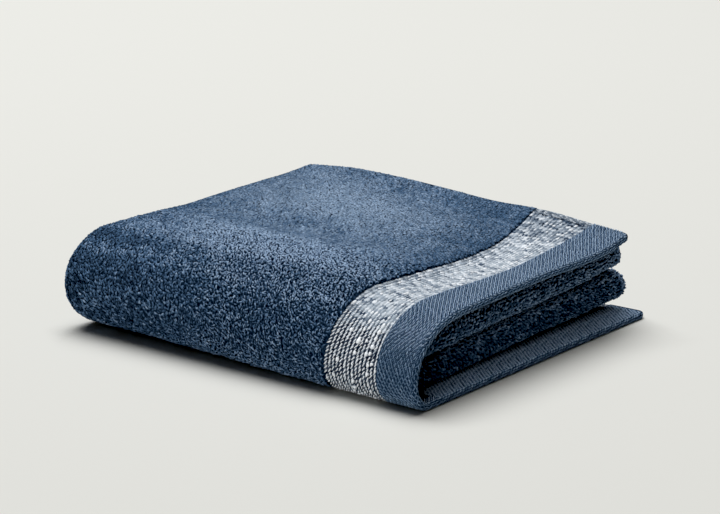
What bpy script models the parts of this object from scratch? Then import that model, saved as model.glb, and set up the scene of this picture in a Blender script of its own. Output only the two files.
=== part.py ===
"""A terry hand towel, folded in three along its length and then in half across its width.

The towel is one woven cloth: looped terry in the middle, and a flat woven border and a turned hem at each end.
The cloth is worked out flat first, as a distance `along` its length from the outer hem and a distance `across` its
width from the front fold line. Every point is then carried to its place in the folds: `along` runs back and forth
in three layers, and each layer wraps round the front edge, so the finished pile is six cloths high.

Metres, +Z up. +X runs along the folded front edge towards the end that shows its hem, +Y runs to the open back,
and the origin is under the middle of the folded towel, on the surface that it lies on.
"""

import math

import bmesh
import bpy
import numpy as np

# The flat towel.
TOWEL_LENGTH = 0.475
TOWEL_WIDTH = 0.300
HEM_WIDTH = 0.0165
BORDER_WIDTH = 0.0245
TERRY_THICKNESS = 0.0045
BORDER_THICKNESS = 0.0019
HEM_THICKNESS = 0.0028
STEP_LENGTH = 0.0016  # the length over which the cloth changes from one thickness to the next
EDGE_LENGTH = 0.0014  # hems and selvedges grow thinner over this length, so that they look rounded
EDGE_THINNING = 0.5  # the share of the thickness that is left at the very edge

# The folded towel.
STACK_HEIGHT = 0.0395
LAYERS = 6
LAYER_PITCH = (STACK_HEIGHT - TERRY_THICKNESS) / (LAYERS - 1)
DEEPEST = 2 * LAYER_PITCH  # how far the innermost of the three layers lies inside the outer one
LEFT_END = -0.0845
HEM_END = 0.0805
FRONT_END = -0.0733
RIGHT_FOLD_INSET = 0.0070  # the inner fold stops this far short of the outer hem
FOLD_PRESSING = 0.35  # the share of the pile that is pressed away on the inside of the left and the right fold

# Where the cloth's two selvedges come to lie at the back, for each of the three layers from the outer one inwards.
BACK_REACH = [
    {"layer": "outer", "top": 0.0630, "bottom": 0.0750},
    {"layer": "middle", "top": 0.0695, "bottom": 0.0735},
    {"layer": "inner", "top": 0.0710, "bottom": 0.0740},
]

# How the front edge turns over. rise is the share of the height above the foremost line, upper and lower are how
# far back the turn reaches above and below that line.
FRONT_TURN = {
    "left": {"rise": 0.52, "upper": 0.021, "lower": 0.017},
    "hem": {"rise": 0.67, "upper": 0.028, "lower": 0.0075},
}
INNER_TURN = 0.0045  # how far back the innermost layer's turn reaches, above and below
TURN_POINTS = 81
ARM_POINTS = 60

# The uneven top: the height in millimetres over places from the left fold to the hem (rows) and from the front
# edge to the back edge (columns).
TOP_FROM_FRONT = [-0.070, -0.048, -0.027, -0.007, 0.010, 0.034, 0.052, 0.064]
TOP_HEIGHTS = [
    {"x": -0.084, "heights": [37.5, 38.4, 38.4, 38.3, 38.8, 39.8, 40.3, 41.2]},
    {"x": -0.058, "heights": [37.5, 39.0, 39.5, 38.5, 40.5, 41.0, 41.3, 43.0]},
    {"x": -0.032, "heights": [37.5, 38.8, 39.5, 36.8, 40.0, 40.5, 40.3, 43.0]},
    {"x": -0.005, "heights": [37.5, 38.6, 39.3, 37.5, 39.0, 39.3, 38.3, 41.5]},
    {"x": 0.022, "heights": [37.5, 38.4, 38.8, 37.6, 38.0, 38.0, 37.4, 39.8]},
    {"x": 0.036, "heights": [36.5, 37.0, 36.8, 36.0, 35.5, 35.6, 37.0, 40.0]},
    {"x": 0.044, "heights": [34.6, 34.9, 34.4, 33.7, 33.2, 34.2, 37.2, 40.0]},
    {"x": 0.064, "heights": [34.0, 34.1, 34.0, 33.3, 33.3, 35.0, 36.0, 36.6]},
    {"x": 0.081, "heights": [33.6, 33.0, 33.7, 34.4, 34.8, 34.2, 34.2, 35.3]},
]
MILLIMETRE = 0.001
PRESSED_SHARE = 0.8  # how evenly a dip of the top is passed on to the layers below it

# How far the left end stands out past LEFT_END, or stays short of it, over places from the front to the back.
LEFT_SWAY = [
    {"y": -0.072, "sway": -0.0040},
    {"y": -0.040, "sway": -0.0015},
    {"y": 0.010, "sway": 0.0005},
    {"y": 0.064, "sway": 0.0040},
]
LEFT_SWAY_REACH = 0.090

# The inner layers hang lower where the hem leaves room for them, in front and at the hem's end.
INNER_SAG = {"depth": 0.0028, "x_start": 0.030, "x_full": 0.066, "y_full": -0.060, "y_end": 0.020}

# How far the edge of the terry is drawn towards the hem, over places across the width.
TERRY_EDGE_DRAW = [
    {"across": -0.145, "draw": -0.002},
    {"across": -0.100, "draw": 0.004},
    {"across": -0.040, "draw": 0.004},
    {"across": 0.000, "draw": 0.001},
    {"across": 0.155, "draw": 0.000},
]
DRAW_REACH = 0.060

# How finely the cloth is divided.
RUN_STEP = 0.0125
FOLD_STEPS = 6
TURN_STEPS = 13
ARM_STEPS = 10
TURN_REACH = 0.034  # how far the finer part reaches on both sides of the foremost line
CLOSEST_ROWS = 0.0007

CLOTH_BLUE = (0.075, 0.155, 0.300, 1.0)
CLOTH_ROUGHNESS = 0.9
SMOOTH_BELOW = math.radians(50)


def clear_scene():
    """Removes whatever the scene holds."""
    for thing in list(bpy.data.objects):
        bpy.data.objects.remove(thing)


def ease(share):
    """0 to 1 with level ends."""
    share = np.clip(share, 0.0, 1.0)
    return share * share * (3 - 2 * share)


def curve_through(place, places, values):
    """A smooth line through a short table, read at one place or at many."""
    places, values = np.asarray(places), np.asarray(values)
    slopes = np.gradient(values, places)
    place = np.clip(place, places[0], places[-1])
    i = np.clip(np.searchsorted(places, place, side="right") - 1, 0, len(places) - 2)
    width = places[i + 1] - places[i]
    t = (place - places[i]) / width
    start = values[i] * (1 - t) ** 2 * (1 + 2 * t) + slopes[i] * width * t * (1 - t) ** 2
    end = values[i + 1] * t * t * (3 - 2 * t) + slopes[i + 1] * width * t * t * (t - 1)
    return start + end


def length_sections():
    """The straight runs and the folds that the towel's length passes through, from the outer hem to the inner one."""
    left = LEFT_END + (LAYER_PITCH + TERRY_THICKNESS) / 2
    right = HEM_END - RIGHT_FOLD_INSET - (LAYER_PITCH + TERRY_THICKNESS) / 2
    fold = math.pi * LAYER_PITCH / 2
    last_run = TOWEL_LENGTH - (HEM_END - left) - (right - left) - 2 * fold
    return [
        {"kind": "run", "start": HEM_END, "depth": 0.0, "length": HEM_END - left, "way": -1},
        {"kind": "fold", "start": left, "depth": 0.0, "length": fold, "way": -1},
        {"kind": "run", "start": left, "depth": LAYER_PITCH, "length": right - left, "way": 1},
        {"kind": "fold", "start": right, "depth": LAYER_PITCH, "length": fold, "way": 1},
        {"kind": "run", "start": right, "depth": DEEPEST, "length": last_run, "way": -1},
    ]


def place_along(along):
    """Where a distance along the towel comes to lie: its x, and how far inside the outer layer it is."""
    sections = length_sections()
    for section in sections:
        if along <= section["length"] or section is sections[-1]:
            break
        along -= section["length"]
    if section["kind"] == "run":
        return section["start"] + section["way"] * along, section["depth"]
    angle = math.pi * along / section["length"]
    x = section["start"] + section["way"] * LAYER_PITCH / 2 * math.sin(angle)
    return x, section["depth"] + LAYER_PITCH / 2 * (1 - math.cos(angle))


def thickness_at(along):
    """The cloth's thickness at a distance along the towel: hem, border, terry, border, hem."""
    from_end = min(along, TOWEL_LENGTH - along)
    to_border = ease((from_end - HEM_WIDTH) / STEP_LENGTH + 0.5)
    to_terry = ease((from_end - HEM_WIDTH - BORDER_WIDTH) / STEP_LENGTH + 0.5)
    thickness = HEM_THICKNESS + to_border * (BORDER_THICKNESS - HEM_THICKNESS)
    return thickness + to_terry * (TERRY_THICKNESS - BORDER_THICKNESS)


def skin_distances(along):
    """How far the cloth's two faces lie from its middle, the face that starts on the outside first."""
    outside = inside = thickness_at(along) / 2
    for section in length_sections():
        if section["kind"] == "fold" and 0 < along < section["length"]:
            pressed = FOLD_PRESSING * math.sin(math.pi * along / section["length"])
            outside *= 1 - pressed * (section["way"] > 0)
            inside *= 1 - pressed * (section["way"] < 0)
        along -= section["length"]
    return outside, inside


def top_height(x, y):
    """The height of the uneven top over many places y at one x."""
    places = [row["x"] for row in TOP_HEIGHTS]
    at_x = [curve_through(x, places, [row["heights"][i] for row in TOP_HEIGHTS]) for i in range(len(TOP_FROM_FRONT))]
    return curve_through(y, TOP_FROM_FRONT, at_x) * MILLIMETRE


def left_sway(x, y):
    """How far a place is moved along X because the left end isn't straight."""
    sway = curve_through(y, [row["y"] for row in LEFT_SWAY], [row["sway"] for row in LEFT_SWAY])
    return sway * (1 - ease((x - LEFT_END) / LEFT_SWAY_REACH))


def inner_sag(x, y, depth):
    """How far an inner layer hangs under its even place."""
    by_x = ease((x - INNER_SAG["x_start"]) / (INNER_SAG["x_full"] - INNER_SAG["x_start"]))
    by_y = 1 - ease((y - INNER_SAG["y_full"]) / (INNER_SAG["y_end"] - INNER_SAG["y_full"]))
    return INNER_SAG["depth"] * by_x * by_y * ease(depth / LAYER_PITCH)


def wrapped_line(x, depth, underside):
    """The line of one layer, from its selvedge on top round the front to its selvedge below, at one x.

    `underside` is the height of the lowest cloth's middle. Returns the points (y, z), the distance of each along
    the line and the distance of the foremost point.
    """
    inwards = depth / DEEPEST
    to_hem = ease((x - LEFT_END) / (HEM_END - LEFT_END))
    turn = {k: (1 - to_hem) * FRONT_TURN["left"][k] + to_hem * FRONT_TURN["hem"][k] for k in FRONT_TURN["left"]}
    rise = (1 - inwards) * turn["rise"] + inwards / 2
    upper = (1 - inwards) * turn["upper"] + inwards * INNER_TURN
    lower = (1 - inwards) * turn["lower"] + inwards * INNER_TURN
    top = STACK_HEIGHT - TERRY_THICKNESS / 2 - depth
    bottom = underside + depth
    foremost = bottom + (top - bottom) * (1 - rise)
    back_top = np.interp(depth, [0, LAYER_PITCH, DEEPEST], [row["top"] for row in BACK_REACH])
    back_bottom = np.interp(depth, [0, LAYER_PITCH, DEEPEST], [row["bottom"] for row in BACK_REACH])

    angles = np.linspace(math.pi / 2, -math.pi / 2, TURN_POINTS)
    reach = np.where(angles > 0, upper, lower)
    height = np.where(angles > 0, top - foremost, foremost - bottom)
    turn_y = FRONT_END + TERRY_THICKNESS / 2 + depth + reach * (1 - np.cos(angles))
    turn_z = foremost + height * np.sin(angles)
    top_y = np.linspace(back_top, turn_y[0], ARM_POINTS)[:-1]
    bottom_y = np.linspace(turn_y[-1], back_bottom, ARM_POINTS)[1:]
    y = np.concatenate([top_y, turn_y, bottom_y])
    z = np.concatenate([np.full_like(top_y, top), turn_z, np.full_like(bottom_y, bottom)])

    pressed = np.clip((z - TERRY_THICKNESS) / (STACK_HEIGHT - 1.5 * TERRY_THICKNESS), 0.0, 1.0) ** PRESSED_SHARE
    z = z + pressed * (top_height(x, y) - STACK_HEIGHT)
    z = z - inner_sag(x, y, depth)
    distance = np.concatenate([[0.0], np.cumsum(np.hypot(np.diff(y), np.diff(z)))])
    return y, z, distance, distance[len(top_y) + TURN_POINTS // 2]


def rows_along():
    """The distances along the towel at which the cloth has a row of points."""
    rows = {0.0, EDGE_LENGTH, TOWEL_LENGTH - EDGE_LENGTH, TOWEL_LENGTH}
    for change in (HEM_WIDTH, HEM_WIDTH + BORDER_WIDTH):
        for side in (-STEP_LENGTH / 2, STEP_LENGTH / 2):
            rows |= {change + side, TOWEL_LENGTH - change - side}
    start = 0.0
    for section in length_sections():
        steps = FOLD_STEPS if section["kind"] == "fold" else round(section["length"] / RUN_STEP)
        rows |= {start + section["length"] * i / steps for i in range(steps + 1)}
        start += section["length"]
    kept = []
    for row in sorted(rows):
        if not kept or row - kept[-1] > CLOSEST_ROWS:
            kept.append(row)
    return kept


def columns_across():
    """The shares of each layer's own line at which it has a column of points: -1 top selvedge, 0 foremost, 1 below."""
    reach = TURN_REACH / (TOWEL_WIDTH / 2)
    edge = EDGE_LENGTH / (TOWEL_WIDTH / 2)
    columns = list(np.linspace(-1 + edge, -reach, ARM_STEPS, endpoint=False))
    columns += list(np.linspace(-reach, reach, TURN_STEPS, endpoint=False))
    columns += list(np.linspace(reach, 1 - edge, ARM_STEPS + 1))
    return [-1.0, *columns, 1.0]


def cloth_middle(rows, columns):
    """The points of the cloth's middle surface, a row for each distance along and a column for each across."""
    points = np.zeros((len(rows), len(columns), 3))
    places = [row["across"] for row in TERRY_EDGE_DRAW]
    draws = curve_through(np.array(columns) * TOWEL_WIDTH / 2, places, [row["draw"] for row in TERRY_EDGE_DRAW])
    for i, along in enumerate(rows):
        x, depth = place_along(along)
        on_outer = 1 - ease(depth / LAYER_PITCH)
        underside = TERRY_THICKNESS / 2 + on_outer * (thickness_at(along) - TERRY_THICKNESS) / 2
        y, z, distance, foremost = wrapped_line(x, depth, underside)
        past_hem = (along - HEM_WIDTH) / BORDER_WIDTH
        drawn = min(max(past_hem, 0.0), 1.0) * (1 - ease((along - HEM_WIDTH - BORDER_WIDTH) / DRAW_REACH))
        for j, share in enumerate(columns):
            length = foremost if share < 0 else distance[-1] - foremost
            at = foremost + share * length
            at_y, at_z = np.interp(at, distance, y), np.interp(at, distance, z)
            points[i, j] = x + drawn * draws[j] + left_sway(x, at_y), at_y, at_z
    return points


def build_cloth():
    """The cloth as one closed skin: its two faces on either side of the middle surface, and a rim that joins them."""
    rows, columns = rows_along(), columns_across()
    middle = cloth_middle(rows, columns)
    normal = np.cross(np.gradient(middle, axis=0), np.gradient(middle, axis=1))
    normal /= np.linalg.norm(normal, axis=2, keepdims=True)
    thinning = np.ones((len(rows), len(columns)))
    thinning[[0, -1]] *= EDGE_THINNING
    thinning[:, [0, -1]] *= EDGE_THINNING
    distances = np.array([skin_distances(along) for along in rows])
    cloth = bmesh.new()
    skins = []
    for distance in (distances[:, 0], -distances[:, 1]):
        points = middle + (distance[:, None] * thinning)[..., None] * normal
        points[..., 2] = np.maximum(points[..., 2], 0.0)  # nothing sinks into the surface that it lies on
        skins.append([[cloth.verts.new(p) for p in row] for row in points])
    outer, inner = skins
    last_row, last_column = len(rows) - 1, len(columns) - 1
    for i in range(last_row):
        for j in range(last_column):
            cloth.faces.new([outer[i][j], outer[i + 1][j], outer[i + 1][j + 1], outer[i][j + 1]])
            cloth.faces.new([inner[i][j], inner[i][j + 1], inner[i + 1][j + 1], inner[i + 1][j]])
    rim = [(i, 0) for i in range(last_row)] + [(last_row, j) for j in range(last_column)]
    rim += [(i, last_column) for i in range(last_row, 0, -1)] + [(0, j) for j in range(last_column, 0, -1)]
    for (i, j), (next_i, next_j) in zip(rim, rim[1:] + rim[:1]):
        cloth.faces.new([outer[i][j], inner[i][j], inner[next_i][next_j], outer[next_i][next_j]])
    bmesh.ops.recalc_face_normals(cloth, faces=cloth.faces)
    return cloth


def centre_on_origin(cloth):
    """Moves the cloth so that the origin lies under the middle of its extents."""
    points = np.array([vertex.co[:] for vertex in cloth.verts])
    low, high = points.min(axis=0), points.max(axis=0)
    shift = (-(low[0] + high[0]) / 2, -(low[1] + high[1]) / 2, -low[2])
    bmesh.ops.translate(cloth, verts=cloth.verts, vec=shift)


def cloth_material():
    material = bpy.data.materials.new("towel_blue")
    material.use_nodes = True
    shader = material.node_tree.nodes["Principled BSDF"]
    shader.inputs["Base Color"].default_value = CLOTH_BLUE
    shader.inputs["Roughness"].default_value = CLOTH_ROUGHNESS
    shader.inputs["Metallic"].default_value = 0.0
    return material


def main():
    clear_scene()
    cloth = build_cloth()
    centre_on_origin(cloth)
    mesh = bpy.data.meshes.new("towel")
    cloth.to_mesh(mesh)
    cloth.free()
    mesh.shade_smooth()
    mesh.set_sharp_from_angle(angle=SMOOTH_BELOW)
    mesh.materials.append(cloth_material())
    towel = bpy.data.objects.new("towel", mesh)
    bpy.context.scene.collection.objects.link(towel)


if __name__ == "__main__":
    main()
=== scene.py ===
# %% [markdown]
# # A folded terry hand towel
# The real towel is one woven cloth. Looped terry fills the middle, and each end has a flat woven border and
# a turned hem. It lies folded in three along its length and then in half across its width. This lesson
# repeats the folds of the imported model, puts a thin cloth on them, and then lays real yarn on that cloth:
# loops for the terry, rope-like grains for the border, and a close twill for the hem.

import math

import bmesh
import bpy
import numpy as np
from mathutils import Matrix, Vector


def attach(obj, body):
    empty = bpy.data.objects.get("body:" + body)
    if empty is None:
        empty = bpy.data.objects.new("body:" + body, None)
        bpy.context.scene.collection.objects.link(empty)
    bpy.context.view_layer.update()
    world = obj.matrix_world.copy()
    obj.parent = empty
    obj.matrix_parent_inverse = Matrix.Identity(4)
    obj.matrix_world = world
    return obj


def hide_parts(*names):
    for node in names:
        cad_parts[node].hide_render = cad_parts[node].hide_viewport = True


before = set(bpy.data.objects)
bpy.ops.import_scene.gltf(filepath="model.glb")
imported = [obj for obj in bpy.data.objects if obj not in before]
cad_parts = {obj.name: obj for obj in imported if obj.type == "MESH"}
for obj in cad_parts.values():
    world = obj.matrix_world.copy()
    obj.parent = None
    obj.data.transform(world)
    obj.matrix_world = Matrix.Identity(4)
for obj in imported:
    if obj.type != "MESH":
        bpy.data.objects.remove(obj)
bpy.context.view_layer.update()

# %% [markdown]
# ## The camera
# The photograph was taken with a long lens from a little above the table, so near and far parts look almost
# the same size. The camera stands at that angle. It is turned by three directions: to the right of the
# picture, to its top, and back out of it towards the viewer. They are the columns of a rotation matrix.

# %% Camera
CAMERA_AZIMUTH = math.radians(38.0)
CAMERA_ELEVATION = math.radians(15.4)
CAMERA_DISTANCE = 0.990
CAMERA_TARGET = Vector((-0.01753, 0.02694, 0.0180))
LENS_LENGTH = 125.0  # millimetres, on a sensor 36 mm wide
NEAREST_SEEN = 0.01
FURTHEST_SEEN = 30.0

to_right = Vector((math.cos(CAMERA_AZIMUTH), math.sin(CAMERA_AZIMUTH), 0.0))
to_viewer = Vector(
    (
        math.sin(CAMERA_AZIMUTH) * math.cos(CAMERA_ELEVATION),
        -math.cos(CAMERA_AZIMUTH) * math.cos(CAMERA_ELEVATION),
        math.sin(CAMERA_ELEVATION),
    )
)
camera_turn = Matrix((to_right, to_viewer.cross(to_right), to_viewer)).transposed()
camera_data = bpy.data.cameras.new("photo_camera")
camera_data.lens = LENS_LENGTH
camera_data.clip_start = NEAREST_SEEN
camera_data.clip_end = FURTHEST_SEEN
camera = bpy.data.objects.new("photo_camera", camera_data)
bpy.context.scene.collection.objects.link(camera)
camera_place = CAMERA_TARGET + to_viewer * CAMERA_DISTANCE
camera.matrix_world = Matrix.Translation(camera_place) @ camera_turn.to_4x4()
bpy.context.scene.camera = camera
print("camera at", [round(c, 4) for c in camera_place])

# %% [markdown]
# ## The surface and the light
# A pale sheet of paper lies under the towel. The light is a wide soft box over it, a little towards the
# back, so that the top is bright, the folded front edge turns dark, and the shadow on the paper has no hard
# edge. A second box stands low in front. It is linked to the towel alone, at the end of the script, because
# its light on the paper would wash out the dark line where the towel touches it. A weak even light all
# round fills the rest, and a small black level deepens the darkest places, as the photograph's processing
# does.

# %% Paper and light
PAPER_SIZE = 6.0
PAPER_COLOUR = (0.80, 0.808, 0.775, 1.0)
PAPER_ROUGHNESS = 0.9
ROOM_COLOUR = (1.0, 0.97, 0.92, 1.0)
ROOM_STRENGTH = 0.04
LIGHT_COLOUR = (1.0, 0.992, 0.985)
BLACK_LEVEL = (0.0055, 0.0070, 0.0095)
SOFT_BOXES = {  # its size in metres, its place, and its power in watts
    "soft_box": (2.65, Vector((-0.82, 0.45, 3.0)), 118.0),
    "fill_box": (2.2, Vector((0.6, -2.7, 1.2)), 52.0),
}


def set_inputs(node, values):
    """Sets a node's own sockets, given by their names."""
    for socket, value in values.items():
        node.inputs[socket].default_value = value


def plain_material(name, colour, roughness):
    """A matt material of one colour; what varies over a surface is joined to its shader later."""
    material = bpy.data.materials.new(name)
    material.use_nodes = True
    set_inputs(material.node_tree.nodes["Principled BSDF"], {"Base Color": colour, "Roughness": roughness})
    return material


paper_mesh = bpy.data.meshes.new("paper_floor")
paper_shape = bmesh.new()
bmesh.ops.create_grid(paper_shape, x_segments=1, y_segments=1, size=PAPER_SIZE)
paper_shape.to_mesh(paper_mesh)
paper_shape.free()
paper_mesh.materials.append(plain_material("pale_paper", PAPER_COLOUR, PAPER_ROUGHNESS))
paper = bpy.data.objects.new("paper_floor", paper_mesh)
bpy.context.scene.collection.objects.link(paper)

room = bpy.data.worlds.new("pale_room")
room.use_nodes = True
set_inputs(room.node_tree.nodes["Background"], {"Color": ROOM_COLOUR, "Strength": ROOM_STRENGTH})
bpy.context.scene.world = room
shown = bpy.context.scene.view_settings
shown.view_transform = "Standard"
shown.use_curve_mapping = True
shown.curve_mapping.black_level = BLACK_LEVEL

for name, (size, place, power) in SOFT_BOXES.items():
    light_data = bpy.data.lights.new(name, "AREA")
    light_data.size = size
    light_data.energy = power
    light_data.color = LIGHT_COLOUR
    light = bpy.data.objects.new(name, light_data)
    bpy.context.scene.collection.objects.link(light)
    light.location = place
    light.rotation_euler = place.to_track_quat("Z", "Y").to_euler()
    print(name, place[:], "at", power, "watts")

# %% [markdown]
# ## The folds
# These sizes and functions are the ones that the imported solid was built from. Only the selvedges reach two
# or three millimetres further back here. A place on the flat towel is given by two distances: `along` its
# length from the outer hem, and `across` its width from the front fold line. The length runs back and forth
# in three layers, and each layer wraps round the front edge. Folding by such a map, and not by a
# simulation, keeps every piece on the solid.

# %% The towel's sizes
TOWEL_LENGTH = 0.475
TOWEL_WIDTH = 0.300
HALF_WIDTH = TOWEL_WIDTH / 2
HEM_WIDTH = 0.0165
BORDER_WIDTH = 0.0245
TERRY_START = HEM_WIDTH + BORDER_WIDTH
TERRY_THICKNESS = 0.0045
BORDER_THICKNESS = 0.0019
HEM_THICKNESS = 0.0028
STEP_LENGTH = 0.0016
STACK_HEIGHT = 0.0395
LAYERS = 6
LAYER_PITCH = (STACK_HEIGHT - TERRY_THICKNESS) / (LAYERS - 1)
DEEPEST = 2 * LAYER_PITCH
LEFT_END = -0.0845
HEM_END = 0.0805
FRONT_END = -0.0733
RIGHT_FOLD_INSET = 0.0070
BACK_REACH_TOP = [0.0655, 0.0710, 0.0725]
BACK_REACH_BOTTOM = [0.0785, 0.0755, 0.0755]
FRONT_TURN_LEFT = np.array([0.52, 0.021, 0.017])  # rise, and reach above and below the foremost line
FRONT_TURN_HEM = np.array([0.67, 0.028, 0.0075])
EVEN_RISE = 0.5
INNER_TURN = 0.0045
TURN_POINTS = 81
ARM_POINTS = 60
CENTRE_SHIFT = np.array([0.00377, -0.00096, 0.0])  # brings the middle of the pile over the origin
MILLIMETRE = 0.001
PRESSED_REACH = STACK_HEIGHT - 1.5 * TERRY_THICKNESS
PRESSED_POWER = 0.8

# %% The uneven top, in millimetres, and the other small departures from a tidy pile
TOP_FROM_FRONT = [-0.070, -0.048, -0.027, -0.007, 0.010, 0.034, 0.052, 0.064]
TOP_HEIGHTS = {
    -0.084: [37.5, 38.4, 38.4, 38.3, 38.8, 39.8, 40.4, 41.4],
    -0.058: [37.5, 39.0, 39.5, 38.5, 40.5, 41.0, 41.6, 43.5],
    -0.032: [37.5, 38.8, 39.5, 36.8, 40.0, 40.5, 40.6, 43.4],
    -0.005: [37.5, 38.6, 39.3, 37.5, 39.0, 39.3, 38.6, 42.1],
    0.022: [37.5, 38.4, 38.8, 37.6, 38.0, 38.0, 37.8, 40.6],
    0.036: [36.5, 37.0, 36.8, 36.0, 35.5, 35.6, 37.4, 40.8],
    0.044: [34.6, 34.9, 34.4, 33.7, 33.2, 34.2, 37.6, 40.8],
    0.064: [34.0, 34.1, 34.0, 33.3, 33.3, 35.0, 36.8, 38.8],
    0.081: [33.6, 33.0, 33.7, 34.4, 34.8, 34.4, 35.2, 37.4],
}
LEFT_SWAY_PLACES = [-0.072, -0.040, 0.010, 0.064]
LEFT_SWAY = [-0.0040, -0.0015, 0.0005, 0.0040]
LEFT_SWAY_REACH = 0.090
INNER_SAG_DEPTH = 0.0028
INNER_SAG_X = (0.030, 0.066)
INNER_SAG_Y = (-0.060, 0.020)
TERRY_EDGE_PLACES = [-0.145, -0.100, -0.040, 0.000, 0.155]
TERRY_EDGE_DRAW = [-0.002, 0.004, 0.004, 0.001, 0.000]
DRAW_REACH = 0.060


# %% Smooth steps, and smooth lines through short tables
def ease(share):
    """0 to 1 with level ends."""
    share = np.clip(share, 0.0, 1.0)
    return share * share * (3 - 2 * share)


def between(value, start, stop):
    """0 at start and before it, 1 at stop and after it, and a smooth rise from one to the other."""
    return ease((value - start) / (stop - start))


def curve_through(place, places, values):
    """A smooth line through a short table, read at one place or at many."""
    places, values = np.asarray(places), np.asarray(values)
    slopes = np.gradient(values, places)
    place = np.clip(place, places[0], places[-1])
    i = np.clip(np.searchsorted(places, place, side="right") - 1, 0, len(places) - 2)
    width = places[i + 1] - places[i]
    t = (place - places[i]) / width
    start = values[i] * (1 - t) ** 2 * (1 + 2 * t) + slopes[i] * width * t * (1 - t) ** 2
    end = values[i + 1] * t * t * (3 - 2 * t) + slopes[i + 1] * width * t * t * (t - 1)
    return start + end


# %% Back and forth along the length
LEFT_FOLD_X = LEFT_END + (LAYER_PITCH + TERRY_THICKNESS) / 2
RIGHT_FOLD_X = HEM_END - RIGHT_FOLD_INSET - (LAYER_PITCH + TERRY_THICKNESS) / 2
FOLD_LENGTH = math.pi * LAYER_PITCH / 2
LEFT_FOLD_START = HEM_END - LEFT_FOLD_X
LEFT_FOLD_STOP = LEFT_FOLD_START + FOLD_LENGTH
RIGHT_FOLD_START = LEFT_FOLD_STOP + RIGHT_FOLD_X - LEFT_FOLD_X
RIGHT_FOLD_STOP = RIGHT_FOLD_START + FOLD_LENGTH


def place_along(along):
    """Where a distance along the towel comes to lie: its x, and how far inside the outer layer it is."""
    if along <= LEFT_FOLD_START:
        return HEM_END - along, 0.0
    if along <= LEFT_FOLD_STOP:
        angle = math.pi * (along - LEFT_FOLD_START) / FOLD_LENGTH
        x = LEFT_FOLD_X - LAYER_PITCH / 2 * math.sin(angle)
        return x, LAYER_PITCH / 2 * (1 - math.cos(angle))
    if along <= RIGHT_FOLD_START:
        return LEFT_FOLD_X + along - LEFT_FOLD_STOP, LAYER_PITCH
    if along <= RIGHT_FOLD_STOP:
        angle = math.pi * (along - RIGHT_FOLD_START) / FOLD_LENGTH
        x = RIGHT_FOLD_X + LAYER_PITCH / 2 * math.sin(angle)
        return x, LAYER_PITCH + LAYER_PITCH / 2 * (1 - math.cos(angle))
    return RIGHT_FOLD_X - (along - RIGHT_FOLD_STOP), DEEPEST


def by_zone(along, hem, border, terry):
    """A value that steps from the hem's to the border's and on to the terry's, at both ends of the towel."""
    from_end = np.minimum(along, TOWEL_LENGTH - along)
    to_border = between(from_end, HEM_WIDTH - STEP_LENGTH / 2, HEM_WIDTH + STEP_LENGTH / 2)
    to_terry = between(from_end, TERRY_START - STEP_LENGTH / 2, TERRY_START + STEP_LENGTH / 2)
    return hem + to_border * (border - hem) + to_terry * (terry - border)


# %% Round the front, at one x
def top_height(x, y):
    """The height of the uneven top over many places y at one x."""
    places, rows = list(TOP_HEIGHTS), list(TOP_HEIGHTS.values())
    at_x = [curve_through(x, places, [row[i] for row in rows]) for i in range(len(TOP_FROM_FRONT))]
    return curve_through(y, TOP_FROM_FRONT, at_x) * MILLIMETRE


def inner_sag(x, y, depth):
    """How far an inner layer hangs under its even place, where the hem leaves room for it."""
    by_x = between(x, *INNER_SAG_X)
    by_y = 1 - between(y, *INNER_SAG_Y)
    return INNER_SAG_DEPTH * by_x * by_y * between(depth, 0, LAYER_PITCH)


def wrapped_line(x, depth, underside):
    """The line of one layer from its upper selvedge round the front to its lower one, at one x."""
    inwards = depth / DEEPEST
    to_hem = between(x, LEFT_END, HEM_END)
    turn = (1 - to_hem) * FRONT_TURN_LEFT + to_hem * FRONT_TURN_HEM
    rise, upper, lower = (1 - inwards) * turn + inwards * np.array([EVEN_RISE, INNER_TURN, INNER_TURN])
    top = STACK_HEIGHT - TERRY_THICKNESS / 2 - depth
    bottom = underside + depth
    foremost = bottom + (top - bottom) * (1 - rise)
    back_top = np.interp(depth, [0, LAYER_PITCH, DEEPEST], BACK_REACH_TOP)
    back_bottom = np.interp(depth, [0, LAYER_PITCH, DEEPEST], BACK_REACH_BOTTOM)
    angles = np.linspace(math.pi / 2, -math.pi / 2, TURN_POINTS)
    reach = np.where(angles > 0, upper, lower)
    height = np.where(angles > 0, top - foremost, foremost - bottom)
    turn_y = FRONT_END + TERRY_THICKNESS / 2 + depth + reach * (1 - np.cos(angles))
    turn_z = foremost + height * np.sin(angles)
    top_y = np.linspace(back_top, turn_y[0], ARM_POINTS)[:-1]
    bottom_y = np.linspace(turn_y[-1], back_bottom, ARM_POINTS)[1:]
    y = np.concatenate([top_y, turn_y, bottom_y])
    z = np.concatenate([np.full_like(top_y, top), turn_z, np.full_like(bottom_y, bottom)])
    pressed = np.clip((z - TERRY_THICKNESS) / PRESSED_REACH, 0.0, 1.0) ** PRESSED_POWER
    z = z + pressed * (top_height(x, y) - STACK_HEIGHT) - inner_sag(x, y, depth)
    distance = np.concatenate([[0.0], np.cumsum(np.hypot(np.diff(y), np.diff(z)))])
    return y, z, distance, distance[len(top_y) + TURN_POINTS // 2]


# %% [markdown]
# ## One table of the folded cloth
# Thousands of loops need their place and their upright direction on the folded cloth. Working each one out
# alone would be slow, so the middle surface is worked out once on a fine grid, and every later place is
# read from that grid between its four nearest points.

# %% The middle surface on a fine grid
FINE_STEP = 0.0008
FINE_ROWS = np.linspace(0, TOWEL_LENGTH, round(TOWEL_LENGTH / FINE_STEP) + 1)
FINE_COLUMNS = np.linspace(-HALF_WIDTH, HALF_WIDTH, round(TOWEL_WIDTH / FINE_STEP) + 1)


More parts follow.
